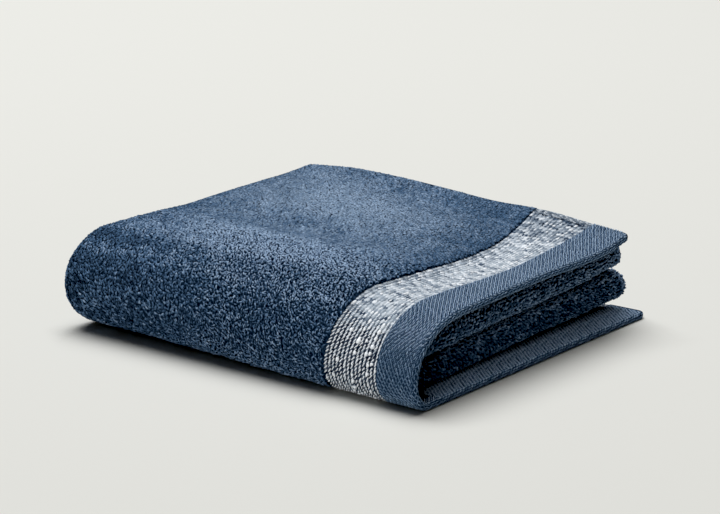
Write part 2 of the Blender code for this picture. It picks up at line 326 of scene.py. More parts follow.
def fold_cloth():
    """Every point of the fine grid carried into the folds."""
    points = np.zeros((len(FINE_ROWS), len(FINE_COLUMNS), 3))
    shares = FINE_COLUMNS / HALF_WIDTH
    draws = curve_through(FINE_COLUMNS, TERRY_EDGE_PLACES, TERRY_EDGE_DRAW)
    for i, along in enumerate(FINE_ROWS):
        x, depth = place_along(along)
        on_outer = 1 - between(depth, 0, LAYER_PITCH)
        thickness = by_zone(along, HEM_THICKNESS, BORDER_THICKNESS, TERRY_THICKNESS)
        underside = TERRY_THICKNESS / 2 + on_outer * (thickness - TERRY_THICKNESS) / 2
        y, z, distance, foremost = wrapped_line(x, depth, underside)
        reach = np.where(shares < 0, foremost, distance[-1] - foremost)
        at_y = np.interp(foremost + shares * reach, distance, y)
        at_z = np.interp(foremost + shares * reach, distance, z)
        past_hem = np.clip((along - HEM_WIDTH) / BORDER_WIDTH, 0.0, 1.0)
        drawn = past_hem * (1 - between(along, TERRY_START, TERRY_START + DRAW_REACH))
        swaying = 1 - between(x, LEFT_END, LEFT_END + LEFT_SWAY_REACH)
        sway = curve_through(at_y, LEFT_SWAY_PLACES, LEFT_SWAY) * swaying
        points[i] = np.stack([x + drawn * draws + sway, at_y, at_z], axis=1)
    return points + CENTRE_SHIFT


def unit(vectors):
    """The same directions, all one unit long."""
    return vectors / np.linalg.norm(vectors, axis=-1, keepdims=True)


fine_points = fold_cloth()
fine_along = unit(np.gradient(fine_points, axis=0))
fine_upright = unit(np.cross(np.gradient(fine_points, axis=0), np.gradient(fine_points, axis=1)))
print("fold table", fine_points.shape, "from", fine_points.min((0, 1)), "to", fine_points.max((0, 1)))


# %% Read a place from the table
def on_cloth(along, across):
    """The middle point, the upright direction and the direction along, at many flat places."""
    i = np.clip(np.asarray(along) / TOWEL_LENGTH, 0, 1) * (len(FINE_ROWS) - 1)
    j = np.clip(np.asarray(across) / TOWEL_WIDTH + 0.5, 0, 1) * (len(FINE_COLUMNS) - 1)
    i, j = np.broadcast_arrays(i, j)
    low_i = np.minimum(i.astype(int), len(FINE_ROWS) - 2)
    low_j = np.minimum(j.astype(int), len(FINE_COLUMNS) - 2)
    share_i, share_j = (i - low_i)[..., None], (j - low_j)[..., None]

    def read(table):
        near = table[low_i, low_j] * (1 - share_j) + table[low_i, low_j + 1] * share_j
        far = table[low_i + 1, low_j] * (1 - share_j) + table[low_i + 1, low_j + 1] * share_j
        return near * (1 - share_i) + far * share_i

    return read(fine_points), unit(read(fine_upright)), unit(read(fine_along))


# %% [markdown]
# ## The ground cloth
# Under the loops and grains lies the woven ground itself. It is made as a cloth is cut: a flat grid,
# thickened by an extrusion that gives it a second face, and then carried into the folds. The hem is thick,
# the border thin, and the edges are rounded by letting the thickness run out over the last millimetre. Its
# lowest points are kept on the surface.

# %% The ground cloth's rows, columns and thickness
HEM_GROUND = 0.0024
BORDER_GROUND = 0.0015
TERRY_GROUND = 0.0030
ROUND_EDGE = 0.0012
ROUND_SHARE = 0.96  # the share of the thickness, squared, that has run out at the very edge
CORNER_RADIUS = 0.0032
CORNER_SPREAD = 10
ROW_STEP = 0.0034
FOLD_ROW_STEP = 0.0011
COLUMN_STEP = 0.0038
TURN_COLUMN_STEP = 0.0020
TURN_REACH = 0.034
EDGE_ROWS = [0.0, 0.0002, 0.0006, 0.0012, 0.0022, 0.0035]
ROW_DIGITS = 5  # rows that agree to this many decimals are one row


def spread(start, stop, step):
    """Even places from start to stop, no further apart than step."""
    return np.linspace(start, stop, max(2, math.ceil((stop - start) / step) + 1))


def ground_rows():
    """The distances along the towel at which the ground cloth has a row of points."""
    edges = np.array(EDGE_ROWS)
    steps = np.array([HEM_WIDTH, HEM_WIDTH, TERRY_START, TERRY_START])
    steps += np.array([-1, 1, -1, 1]) * STEP_LENGTH / 2
    stretches = [
        (edges[-1], steps[0], ROW_STEP),
        (steps[1], steps[2], ROW_STEP),
        (steps[3], LEFT_FOLD_START, ROW_STEP),
        (LEFT_FOLD_START, LEFT_FOLD_STOP, FOLD_ROW_STEP),
        (LEFT_FOLD_STOP, RIGHT_FOLD_START, ROW_STEP),
        (RIGHT_FOLD_START, RIGHT_FOLD_STOP, FOLD_ROW_STEP),
        (RIGHT_FOLD_STOP, TOWEL_LENGTH - edges[-1], ROW_STEP),
    ]
    rows = [edges, TOWEL_LENGTH - edges, steps, TOWEL_LENGTH - steps]
    rows += [spread(*stretch) for stretch in stretches]
    return np.unique(np.concatenate(rows).round(ROW_DIGITS))


def ground_columns():
    """The distances across the towel at which the ground cloth has a column of points."""
    edges = np.array(EDGE_ROWS)
    arm = spread(TURN_REACH, HALF_WIDTH - EDGE_ROWS[-1], COLUMN_STEP)
    turn = spread(-TURN_REACH, TURN_REACH, TURN_COLUMN_STEP)
    columns = np.concatenate([edges - HALF_WIDTH, -arm, turn, arm, HALF_WIDTH - edges])
    return np.unique(columns.round(ROW_DIGITS))


def corner_rounding(along, across):
    """Where a place of the square-cornered cloth goes on the one with rounded corners."""
    from_end = np.minimum(along, TOWEL_LENGTH - along)
    missing = np.clip(CORNER_RADIUS - from_end, 0, CORNER_RADIUS)
    drawn_in = CORNER_RADIUS - np.sqrt(CORNER_RADIUS**2 - missing**2)
    return across * (1 - drawn_in / HALF_WIDTH * np.abs(across / HALF_WIDTH) ** CORNER_SPREAD)


def ground_height(along, across):
    """How far the ground cloth's faces lie from its middle: rounded off at hems and selvedges."""
    thickness = by_zone(along, HEM_GROUND, BORDER_GROUND, TERRY_GROUND)
    from_edge = np.minimum(np.minimum(along, TOWEL_LENGTH - along), HALF_WIDTH - np.abs(across))
    inside = np.clip(1 - from_edge / ROUND_EDGE, 0, 1)
    return thickness / 2 * np.sqrt(1 - inside**2 * ROUND_SHARE)


# %% Make the ground cloth
rows, columns = ground_rows(), ground_columns()
cloth_shape = bmesh.new()
bmesh.ops.create_grid(cloth_shape, x_segments=len(columns) - 1, y_segments=len(rows) - 1, size=1)
bmesh.ops.extrude_face_region(cloth_shape, geom=list(cloth_shape.faces), use_keep_orig=True)
cloth_shape.verts.index_update()
cloth_mesh = bpy.data.meshes.new("towel_cloth")
cloth_shape.to_mesh(cloth_mesh)
cloth_shape.free()

flat_grid = np.zeros(len(cloth_mesh.vertices) * 3)
cloth_mesh.vertices.foreach_get("co", flat_grid)
flat_grid = flat_grid.reshape(-1, 3)
row_of = np.rint((flat_grid[:, 1] + 1) / 2 * (len(rows) - 1)).astype(int)
column_of = np.rint((flat_grid[:, 0] + 1) / 2 * (len(columns) - 1)).astype(int)
point_along, point_across = rows[row_of], columns[column_of]
half = len(flat_grid) // 2
on_front = np.arange(len(flat_grid)) >= half
rounded_across = corner_rounding(point_along, point_across)
middle, upright, _ = on_cloth(point_along, rounded_across)
height = ground_height(point_along, point_across) * np.where(on_front, 1, -1)
folded = middle + height[:, None] * upright
folded[:, 2] = np.maximum(folded[:, 2], 0.0)
cloth_mesh.vertices.foreach_set("co", folded.ravel())
cloth_mesh.update()
print("ground cloth", len(rows), "rows by", len(columns), "columns,", len(cloth_mesh.polygons), "faces")

# %% Give the cloth its flat measure as a UV map, and a number for each zone's material
TERRY_ZONE, BORDER_ZONE, HEM_ZONE = range(3)
CUBIC_CENTIMETRES = 1e6  # in a cubic metre

corner_vertex = np.zeros(len(cloth_mesh.loops), int)
cloth_mesh.loops.foreach_get("vertex_index", corner_vertex)
flat_map = cloth_mesh.uv_layers.new(name="flat_cloth")
flat_places = np.stack([point_across[corner_vertex], point_along[corner_vertex]], axis=1)
flat_map.data.foreach_set("uv", flat_places.ravel())
face_middle = np.array([point_along[list(face.vertices)].mean() for face in cloth_mesh.polygons])
face_from_end = np.minimum(face_middle, TOWEL_LENGTH - face_middle)
zone = np.where(face_from_end < TERRY_START, BORDER_ZONE, TERRY_ZONE)
zone[face_from_end < HEM_WIDTH] = HEM_ZONE
cloth_mesh.polygons.foreach_set("material_index", zone.astype(np.int32))
cloth = bpy.data.objects.new("towel_cloth", cloth_mesh)
bpy.context.scene.collection.objects.link(cloth)
check_shape = bmesh.new()
check_shape.from_mesh(cloth_mesh)
bmesh.ops.recalc_face_normals(check_shape, faces=check_shape.faces)
print("open edges of the cloth", sum(not edge.is_manifold for edge in check_shape.edges))
print("volume of the cloth in cubic centimetres", round(check_shape.calc_volume() * CUBIC_CENTIMETRES, 1))
check_shape.to_mesh(cloth_mesh)
check_shape.free()
cloth_mesh.shade_smooth()

# %% [markdown]
# ## Yarn, and how to repeat it
# Every loop, grain and stitch of a towel is a short length of yarn. One length is made by extruding a small
# ring along a line, turning and widening it as it goes, and drawing its ends in to points. Thousands of
# copies are then carried to their places by arithmetic on whole arrays, and joined into one mesh. Each copy
# gets its own shade, so that no two neighbours need look alike. Painted shade by height is added to it: the
# raised parts are painted lighter than the parts that dip into the cloth, where shade falls among the yarns.


# %% One short length of yarn
def yarn_length(line, widths, sides):
    """A closed length of yarn through a line of points, pointed at both ends: its points and its faces."""
    line = [Vector(point) for point in line]
    shape = bmesh.new()
    first_ring = bmesh.ops.create_circle(shape, segments=sides, radius=widths[0] / 2)["verts"]
    ahead = [(b - a).normalized() for a, b in zip(line, line[1:])]
    turns = [ahead[0]] + [(a + b).normalized() for a, b in zip(ahead, ahead[1:])] + [ahead[-1]]
    first_turn = Vector((0, 0, 1)).rotation_difference(turns[0]).to_matrix()
    bmesh.ops.rotate(shape, verts=first_ring, cent=(0, 0, 0), matrix=first_turn)
    bmesh.ops.translate(shape, verts=first_ring, vec=line[0])
    edges = list(shape.edges)
    for i in range(1, len(line)):
        made = bmesh.ops.extrude_edge_only(shape, edges=edges)["geom"]
        ring = [part for part in made if isinstance(part, bmesh.types.BMVert)]
        new_edges = [part for part in made if isinstance(part, bmesh.types.BMEdge)]
        edges = [edge for edge in new_edges if set(edge.verts) <= set(ring)]
        turn = turns[i - 1].rotation_difference(turns[i]).to_matrix()
        bmesh.ops.translate(shape, verts=ring, vec=line[i] - line[i - 1])
        bmesh.ops.rotate(shape, verts=ring, cent=line[i], matrix=turn)
        wider = widths[i] / widths[i - 1]
        bmesh.ops.scale(shape, verts=ring, vec=(wider,) * 3, space=Matrix.Translation(-line[i]))
    bmesh.ops.pointmerge(shape, verts=first_ring, merge_co=line[0])
    bmesh.ops.pointmerge(shape, verts=ring, merge_co=line[-1])
    bmesh.ops.recalc_face_normals(shape, faces=shape.faces)
    shape.verts.index_update()
    points = np.array([vertex.co[:] for vertex in shape.verts])
    faces = [[vertex.index for vertex in face.verts] for face in shape.faces]
    open_edges = sum(not edge.is_manifold for edge in shape.edges)
    shape.free()
    if open_edges:
        raise ValueError(f"a length of yarn has {open_edges} open edges")
    return points, faces


# %% Many lengths of yarn joined into one piece
LOWEST_YARN = 0.00015
YARN_TALL = 0.0008


def lay_yarn(name, shapes, faces, pick, places, turns, sizes, shade, painted_crown_shade, material):
    """One piece of many yarns. Each has a shape, a place, three directions, a size and a shade, and painted
    shade by height: its crown is painted lighter than its ends, which lie in the shade low in the cloth."""
    count, per_shape = len(pick), shapes.shape[1]
    points = shapes[pick] * sizes[:, None, :]
    # painted shade by height: the raised parts of each yarn lighter, the parts low in the cloth darker
    shades = shade[:, None] + np.reshape(painted_crown_shade, (-1, 1)) * points[..., 2] / YARN_TALL
    points = np.einsum("mnk,mkj->mnj", points, turns) + places[:, None, :]
    points[..., 2] = np.maximum(points[..., 2], LOWEST_YARN)
    corners = np.concatenate([np.array(face) for face in faces])
    all_corners = (np.arange(count)[:, None] * per_shape + corners).ravel()
    face_sizes = np.tile([len(face) for face in faces], count)
    mesh = bpy.data.meshes.new(name)
    mesh.vertices.add(count * per_shape)
    mesh.vertices.foreach_set("co", points.ravel())
    mesh.loops.add(len(all_corners))
    mesh.loops.foreach_set("vertex_index", all_corners.astype(np.int32))
    mesh.polygons.add(len(face_sizes))
    face_starts = np.cumsum(face_sizes) - face_sizes
    mesh.polygons.foreach_set("loop_start", face_starts.astype(np.int32))
    mesh.update(calc_edges=True)
    mesh.shade_smooth()
    mesh.attributes.new("shade", "FLOAT", "POINT").data.foreach_set("value", shades.clip(0, 1).ravel())
    mesh.materials.append(material)
    piece = bpy.data.objects.new(name, mesh)
    bpy.context.scene.collection.objects.link(piece)
    triangles = int((face_sizes - 2).sum())
    print(name, count, "lengths of yarn,", triangles, "triangles")
    return piece, triangles


def turned(upright, along, lean, lean_way, spin):
    """Three directions for each yarn: it stands on the cloth, leans some way, and is spun about itself."""
    side = np.cross(upright, along)
    way = np.cos(lean_way)[:, None] * along + np.sin(lean_way)[:, None] * side
    tall = np.cos(lean)[:, None] * upright + np.sin(lean)[:, None] * way
    flat = unit(np.cross(tall, along))
    other = np.cross(flat, tall)
    wide = np.cos(spin)[:, None] * other + np.sin(spin)[:, None] * flat
    return np.stack([wide, np.cross(tall, wide), tall], axis=1)


HILL_TABLE = 97


def soft_hills(along, across, size, seed):
    """Gentle random hills from -1 to 1, each about size metres wide."""
    table = np.random.default_rng(seed).uniform(-1, 1, (HILL_TABLE, HILL_TABLE))
    a, b = np.asarray(along) / size, np.asarray(across) / size
    i, j = np.floor(a).astype(int), np.floor(b).astype(int)
    share_a, share_b = ease(a - i), ease(b - j)
    i, j, next_i, next_j = [k % HILL_TABLE for k in (i, j, i + 1, j + 1)]
    near = table[i, j] * (1 - share_b) + table[i, next_j] * share_b
    far = table[next_i, j] * (1 - share_b) + table[next_i, next_j] * share_b
    return near * (1 - share_a) + far * share_a


# %% [markdown]
# ## The colours of the yarn
# The towel is dyed a deep denim blue. Dyed cotton never takes one even colour: each loop is a little
# lighter or darker, and its fuzz catches the light at a slant, which the sheen gives. The border is woven
# of a white and a blue-grey yarn together. Each material is one ramp from dark to light, and every length
# of yarn reads its own place on it from an attribute.

# %% Yarn materials
# The shade attribute that picks a place on these ramps holds each yarn's own tone and also painted light and
# shade, so the dark ends of the ramps serve partly as painted shade.
TERRY_SHADES = [(0.0, (0.001, 0.006, 0.020)), (0.5, (0.067, 0.131, 0.235)), (1.0, (0.337, 0.458, 0.630))]
HEM_SHADES = [(0.0, (0.003, 0.014, 0.040)), (0.5, (0.118, 0.198, 0.312)), (1.0, (0.385, 0.498, 0.650))]
BORDER_SHADES = [
    (0.0, (0.005, 0.013, 0.034)),
    (0.25, (0.060, 0.095, 0.150)),
    (0.5, (0.330, 0.390, 0.460)),
    (0.75, (0.720, 0.775, 0.835)),
    (1.0, (0.880, 0.915, 0.955)),
]
YARN_ROUGHNESS = 0.92
FUZZ_SHEEN = 0.08
BORDER_SHEEN = FUZZ_SHEEN / 3
GROUND_SHEEN = FUZZ_SHEEN / 2
FUZZ_ROUGHNESS = 0.45
FUZZ_COLOUR = (0.45, 0.68, 1.0, 1.0)
FIBRE_SCALE = 2600.0
FIBRE_STRENGTH = 0.35
FIBRE_HEIGHT = 0.00015


def ramp_between(nodes, stops):
    """A colour ramp with the given stops: each its place from 0 to 1, and its colour."""
    ramp = nodes.new("ShaderNodeValToRGB")
    marks = ramp.color_ramp.elements
    while len(marks) < len(stops):
        marks.new(0.5)
    for mark, (place, colour) in zip(marks, stops):
        mark.position = place
        mark.color = (*colour, 1.0)
    return ramp


def cotton_material(name, colour, sheen):
    """Matt cotton with its fuzz, and its nodes, links and shader to work on."""
    material = plain_material(name, (*colour, 1.0), YARN_ROUGHNESS)
    nodes, links = material.node_tree.nodes, material.node_tree.links
    shader = nodes["Principled BSDF"]
    fuzz = {"Sheen Weight": sheen, "Sheen Roughness": FUZZ_ROUGHNESS, "Sheen Tint": FUZZ_COLOUR}
    set_inputs(shader, {**fuzz, "Specular IOR Level": 0.0})
    return material, nodes, links, shader


def yarn_material(name, shades, sheen):
    """Cotton that takes its colour from each yarn's own shade, with a fine fibre roughness on it."""
    material, nodes, links, shader = cotton_material(name, shades[1][1], sheen)
    own_shade = nodes.new("ShaderNodeAttribute")
    own_shade.attribute_name = "shade"
    ramp = ramp_between(nodes, shades)
    links.new(own_shade.outputs["Fac"], ramp.inputs["Fac"])
    links.new(ramp.outputs["Color"], shader.inputs["Base Color"])
    place = nodes.new("ShaderNodeTexCoord")
    fibres = nodes.new("ShaderNodeTexNoise")
    bump = nodes.new("ShaderNodeBump")
    set_inputs(fibres, {"Scale": FIBRE_SCALE})
    set_inputs(bump, {"Strength": FIBRE_STRENGTH, "Distance": FIBRE_HEIGHT})
    links.new(place.outputs["Object"], fibres.inputs["Vector"])
    links.new(fibres.outputs["Fac"], bump.inputs["Height"])
    links.new(bump.outputs["Normal"], shader.inputs["Normal"])
    return material


terry_yarn = yarn_material("terry_yarn", TERRY_SHADES, FUZZ_SHEEN)
hem_yarn = yarn_material("hem_yarn", HEM_SHADES, FUZZ_SHEEN)
border_yarn = yarn_material("border_yarn", BORDER_SHADES, BORDER_SHEEN)
print("yarn materials", terry_yarn.name, hem_yarn.name, border_yarn.name)


# %% [markdown]
# ## The ground's materials
# Where no loop or grain lies on it, inside the folds and underneath, the ground cloth shows its own weave.
# The patterns are read from the flat map, in metres on the flat cloth, so that they bend with the folds.


# %% Woven ground materials
CELL_EDGE = 0.8  # the place in a cell where its dark rim is reached
CELL_BUMP = 0.9
# The dark colours of these grounds are partly painted shade, standing for the shade deep between the loops,
# grains and floats that lie over them.
WOVEN_GROUNDS = {  # dark and light colour, cells in a metre across and along, their turn and height
    "terry_ground": ((0.005, 0.012, 0.029), (0.030, 0.062, 0.118), (900, 900), 0.3, 0.0008),
    "border_ground": ((0.004, 0.010, 0.026), (0.060, 0.080, 0.120), (700, 570), 0.6, 0.0004),
    "hem_ground": ((0.010, 0.024, 0.052), (0.030, 0.062, 0.115), (870, 870), 0.785, 0.0003),
}


def woven_material(name, dark, light, cells, turn, height):
    """Small raised cells on the flat map, light in the middle, with painted shade darkening each rim."""
    material, nodes, links, shader = cotton_material(name, dark, GROUND_SHEEN)
    flat = nodes.new("ShaderNodeUVMap")
    flat.uv_map = "flat_cloth"
    spread_out = nodes.new("ShaderNodeMapping")
    grains = nodes.new("ShaderNodeTexVoronoi")
    ramp = ramp_between(nodes, [(0.0, light), (CELL_EDGE, dark)])
    bump = nodes.new("ShaderNodeBump")
    bump.invert = True
    set_inputs(spread_out, {"Scale": (*cells, 1.0), "Rotation": (0.0, 0.0, turn)})
    set_inputs(grains, {"Scale": 1.0})
    set_inputs(bump, {"Strength": CELL_BUMP, "Distance": height})
    links.new(flat.outputs["UV"], spread_out.inputs["Vector"])
    links.new(spread_out.outputs["Vector"], grains.inputs["Vector"])
    links.new(grains.outputs["Distance"], ramp.inputs["Fac"])
    links.new(ramp.outputs["Color"], shader.inputs["Base Color"])
    links.new(grains.outputs["Distance"], bump.inputs["Height"])
    links.new(bump.outputs["Normal"], shader.inputs["Normal"])
    return material


for name, pattern in WOVEN_GROUNDS.items():
    cloth_mesh.materials.append(woven_material(name, *pattern))
print("ground materials", [ground.name for ground in cloth_mesh.materials])

# %% [markdown]
# ## The terry loops
# Terry is woven with a slack second warp that stands up in loops on both faces. Each loop is a low arch of
# yarn nearly two millimetres long, and no two stand alike: they lean and twist into each other, with dark
# gaps between. A few arches are made, and every place on the cloth takes one of them, leaning and turned by
# its own random numbers and by soft hills that make whole patches lie the same way. Where a hand has
# smoothed the pile, at the back and the left, the loops lie low, long and closed, with faint streaks of nap
# over them. Each loop's shade carries painted light: a painted highlight on the level top and its ridges,
# painted shade down the front, in the hollows and deep inside the folds, and it is darker in some places.

# %% Loop shapes, in millimetres
LOOP_KINDS = 8
LOOP_SIDES = 3
LOOP_WIDTHS = [0.33, 0.66, 0.66, 0.33]
LOOP_REACH = (0.66, 0.98)  # half the distance between its feet
LOOP_CROWN = (0.26, 0.42)
LOOP_FOOT = -0.42
LOOP_BEND = 0.16
LOOP_SEED = 7
loop_random = np.random.default_rng(LOOP_SEED)


def loop_shapes():
    """Several arches of yarn with the same faces, each bent in its own way."""
    shapes = []
    for _ in range(LOOP_KINDS):
        reach = loop_random.uniform(*LOOP_REACH)
        crown = loop_random.uniform(*LOOP_CROWN, 2)
        bend = loop_random.uniform(-LOOP_BEND, LOOP_BEND, 2)
        line = [(-reach, 0, LOOP_FOOT), (-reach / 3, bend[0], crown[0])]
        line += [(reach / 3, bend[1], crown[1]), (reach, 0, LOOP_FOOT)]
        points, faces = yarn_length(line, LOOP_WIDTHS, LOOP_SIDES)
        shapes.append(points * MILLIMETRE)
    return np.array(shapes), faces


loop_kinds, loop_faces = loop_shapes()
print("a loop has", len(loop_faces), "faces")


# %% Where the loops stand
OUTER_SKIN = 1
INNER_SKIN = -1
LOOP_SPACING = 0.00096
LOOP_ROW_SPACING = 0.00086
LOOP_STRAY = np.array([0.22, 0.30]) * LOOP_SPACING
FOLD_STRETCH = 1 + TERRY_THICKNESS / LAYER_PITCH
SELVEDGE_WIDTH = 0.0017


def stretch_at(along, skin):
    """How much longer the outside of a fold is than the cloth's middle."""
    left = LEFT_FOLD_START < along < LEFT_FOLD_STOP and skin == OUTER_SKIN
    right = RIGHT_FOLD_START < along < RIGHT_FOLD_STOP and skin == INNER_SKIN
    return FOLD_STRETCH if left or right else 1.0


def loop_places(along_range, across_range, skin, row_step=LOOP_ROW_SPACING, step=LOOP_SPACING):
    """Flat places for loops in staggered rows, each moved a little by chance."""
    rows, along = [], along_range[0]
    while along < along_range[1]:
        rows.append(along)
        along += row_step / stretch_at(along, skin)
    places = []
    for i, along in enumerate(rows):
        across = np.arange(across_range[0] + (i % 2) * step / 2, across_range[1], step)
        places.append(np.stack([np.full_like(across, along), across], axis=1))
    places = np.concatenate(places)
    places += loop_random.normal(0, 1, places.shape) * LOOP_STRAY
    inside = (places[:, 0] > TERRY_START) & (places[:, 0] < TOWEL_LENGTH - TERRY_START)
    inside &= np.abs(places[:, 1]) < HALF_WIDTH - SELVEDGE_WIDTH
    return places[inside]


# %% How open the pile is
STROKED_Y = (-0.050, -0.004)
STROKED_X = (0.000, -0.060)
STROKED_LEFT = 0.55
STROKED_MOST = 0.88


def openness(places):
    """1 where the pile stands open, less where a hand has smoothed it."""
    back = between(places[:, 1], *STROKED_Y)
    left = between(places[:, 0], *STROKED_X) * STROKED_LEFT
    return 1 - STROKED_MOST * np.maximum(back, left)


def by_openness(closed, opened, is_open):
    """A value that goes from the closed pile's to the open pile's."""
    return closed + (opened - closed) * is_open


# %% How a loop leans and twists, how large it is, and how high it stands
LEAN_USUAL = 0.45
LEAN_SPREAD = 0.35
LEAN_MOST = 1.2
LOOP_TWIST = (-0.80, 0.60)  # the usual twist, and its spread
LIP_TWIST = (1.45, 0.30)
CLOSED_TWIST = 0.5
HILL_TWIST = 0.5
HILL_SIZE = 0.0065
TWIST_SEED = 9
SIZE_SPREAD = 0.12
SIZE_RANGE = (0.7, 1.3)
CLOSED_SIZE = np.array([1.3, 2.4, 0.25])  # how much wider, longer and taller it is in the closed pile
LOOP_LIFT = 0.00025
LIFT_SPREAD = 0.00010
HILL_HEIGHT = 0.00022
SMOOTHED_DOWN = 0.00020


def loop_turns(places, upright, ahead, is_open, inside):
    """Three directions for each loop, by chance and by soft hills."""
    count = len(places)
    twist, spread = LIP_TWIST if inside else LOOP_TWIST
    lean = np.abs(loop_random.normal(LEAN_USUAL, LEAN_SPREAD, count)).clip(0, LEAN_MOST) * is_open
    lean_way = loop_random.uniform(-math.pi, math.pi, count)
    spin = twist + HILL_TWIST * soft_hills(*places.T, HILL_SIZE, TWIST_SEED)
    spin += loop_random.normal(0, spread, count) * by_openness(CLOSED_TWIST, 1, is_open)
    return turned(upright, ahead, lean, lean_way, spin)


def loop_sizes(is_open):
    """How much wider, longer and taller each loop is than its pattern."""
    size = loop_random.normal(1.0, SIZE_SPREAD, len(is_open)).clip(*SIZE_RANGE)
    return size[:, None] * by_openness(CLOSED_SIZE, 1, is_open[:, None])


def loop_lift(hills, is_open):
    """How high each loop stands over the middle of the cloth."""
    lift = TERRY_GROUND / 2 + LOOP_LIFT + hills * HILL_HEIGHT * is_open - SMOOTHED_DOWN * (1 - is_open)
    return lift + loop_random.normal(0, LIFT_SPREAD, len(is_open)) * is_open


# %% The shade of a loop
# Painted light by slope: a loop is painted lighter where the cloth faces up, and painted darker, as if in
# shade, down the front.
PAINTED_SHADE_BY_SLOPE = [  # how far up the cloth faces, and the shade there
    (-1.0, -0.06),
    (0.0, -0.11),
    (0.5, -0.10),
    (0.7, 0.00),
    (0.9, 0.44),
    (1.0, 0.815),
]
LEVEL_TOP = 0.0385
# Painted light on the relief: the top is painted lighter on its ridges and darker in its hollows.
PAINTED_RELIEF_LIGHT = 60.0  # shade for each metre over the level top
RELIEF_MOST = 0.0014
RELIEF_FROM = 0.02  # lower down there is no relief
CHANCE_CLOSED = 0.08
CHANCE_OPEN = 0.09
# Painted shade inside the folds: the lower lip is painted darker, lying in the shadow of the upper lip, and
# the lips are darker still towards the front, deep in the hollow of the turn.
LIP_PAINTED_SHADE = [(0.012, -0.34), (0.030, 0.05)]  # height, shade
LIP_HOLLOW_PAINTED_SHADE = [(-0.068, -0.30), (-0.030, 0.0)]  # y, shade
MOTTLE_CLOSED = 0.05
MOTTLE_OPEN = 0.12
MOTTLE_LEFT = 0.30
HILL_SHADE = 0.05
OPEN_DIM = 0.50
LEFT_DIM = (0.19, -0.030, -0.072)  # how much darker, and from where to where in x
RIGHT_DIM = (0.065, -0.005, 0.030)
BACK_DIM = (0.14, 0.030, 0.062)  # the same in y
NAP_WAY = math.radians(38.0)
NAP_GRAIN = (0.0012, 0.0032)  # its streaks are this wide and long
NAP_SHADE = 0.08
NAP_SEED = 31


def read_off(table, value):
    """A value read off a short table of pairs."""
    return np.interp(value, *np.array(table).T)


def dimmed(value, dim, start, stop):
    """How much darker it gets from start to stop."""
    return dim * between(value, start, stop)


def nap_streaks(x, y):
    """Short streaks from -1 to 1 in the way that the pile was stroked."""
    over_nap = x * math.cos(NAP_WAY) + y * math.sin(NAP_WAY)
    down_nap = x * math.sin(NAP_WAY) - y * math.cos(NAP_WAY)
    return soft_hills(over_nap / NAP_GRAIN[0], down_nap / NAP_GRAIN[1], 1.0, NAP_SEED)


def loop_shade(middle, upright, is_open, level, hills, mottle, inside):
    """The shade of each loop: painted light and shade by the way it faces, by the relief and inside the
    folds, and darker in some places, with its own patch and chance.
    """
    x, y, z = middle.T
    on_top = ease(upright[:, 2])
    over_level = (z + TERRY_THICKNESS / 2 - LEVEL_TOP).clip(-RELIEF_MOST, RELIEF_MOST)
    # painted highlight on the level top and its ridges, painted shade down the front and in the hollows
    shade = read_off(PAINTED_SHADE_BY_SLOPE, upright[:, 2]) + on_top * PAINTED_RELIEF_LIGHT * over_level * (z > RELIEF_FROM)
    shade += loop_random.normal(0, 1, len(x)) * by_openness(CHANCE_CLOSED, CHANCE_OPEN, is_open)
    shade += by_openness(MOTTLE_CLOSED, MOTTLE_OPEN, is_open) * mottle + HILL_SHADE * hills
    if inside:
        # painted shade inside the folds
        shade += read_off(LIP_PAINTED_SHADE, z) + read_off(LIP_HOLLOW_PAINTED_SHADE, y)
    else:
        shade += between(x, *STROKED_X) * MOTTLE_LEFT * (1 - on_top) * mottle
    dim = np.maximum(dimmed(x, *LEFT_DIM), dimmed(y, *BACK_DIM)) + dimmed(x, *RIGHT_DIM) + OPEN_DIM * is_open
    return shade - level * dim + NAP_SHADE * on_top * nap_streaks(x, y)


# %% One piece of loops
HILL_SEED = 3
MOTTLE_SIZE = 0.0014
MOTTLE_SEED = 21
LEVEL_FROM = 0.76
# Painted shade by height: how much lighter a loop's crown is painted than its feet.
LOOP_PAINTED_CROWN = 1.02
INSIDE_PAINTED_CROWN = 1.30


def loop_piece(name, places, skin, smoothed=True, inside=False):
    """A joined piece of loops at the given flat places, on one face of the cloth."""
    middle, upright, ahead = on_cloth(*places.T)
    upright = upright * skin
    is_open = openness(middle) if smoothed else np.ones(len(places))
    level = between(upright[:, 2], LEVEL_FROM, 1)
    hills = soft_hills(*places.T, HILL_SIZE, HILL_SEED)
    mottle = soft_hills(*places.T, MOTTLE_SIZE, MOTTLE_SEED)
    turns = loop_turns(places, upright, ahead, is_open, inside)
    sizes = loop_sizes(is_open)
    feet = middle + upright * loop_lift(hills, is_open)[:, None]
    shade = loop_shade(middle, upright, is_open, level, hills, mottle, inside)
    # Painted shade by height on each loop: lighter crown, darker feet, with less of it where the pile lies
    # closed on the level top.
    painted_crown_shade = (INSIDE_PAINTED_CROWN if inside else LOOP_PAINTED_CROWN) * (1 - (1 - is_open) * level)
    pick = loop_random.integers(0, LOOP_KINDS, len(places))
    return lay_yarn(name, loop_kinds, loop_faces, pick, feet, turns, sizes, shade, painted_crown_shade, terry_yarn)


# %% Lay the loops that are seen most: the top, the front and both folds
FRONT_TO = 0.036
FOLD_REACH = 0.004
LIP_REACH = 0.007
SPARSE = (0.00098, 0.00108)  # row and loop spacing where little is seen
LIP_ROWS = (0.00150, 0.00066)
TERRY_STRIPS = {
    "terry_top_back": (-HALF_WIDTH, -0.088),
    "terry_top_front": (-0.088, -0.030),
    "terry_front": (-0.030, FRONT_TO),
}

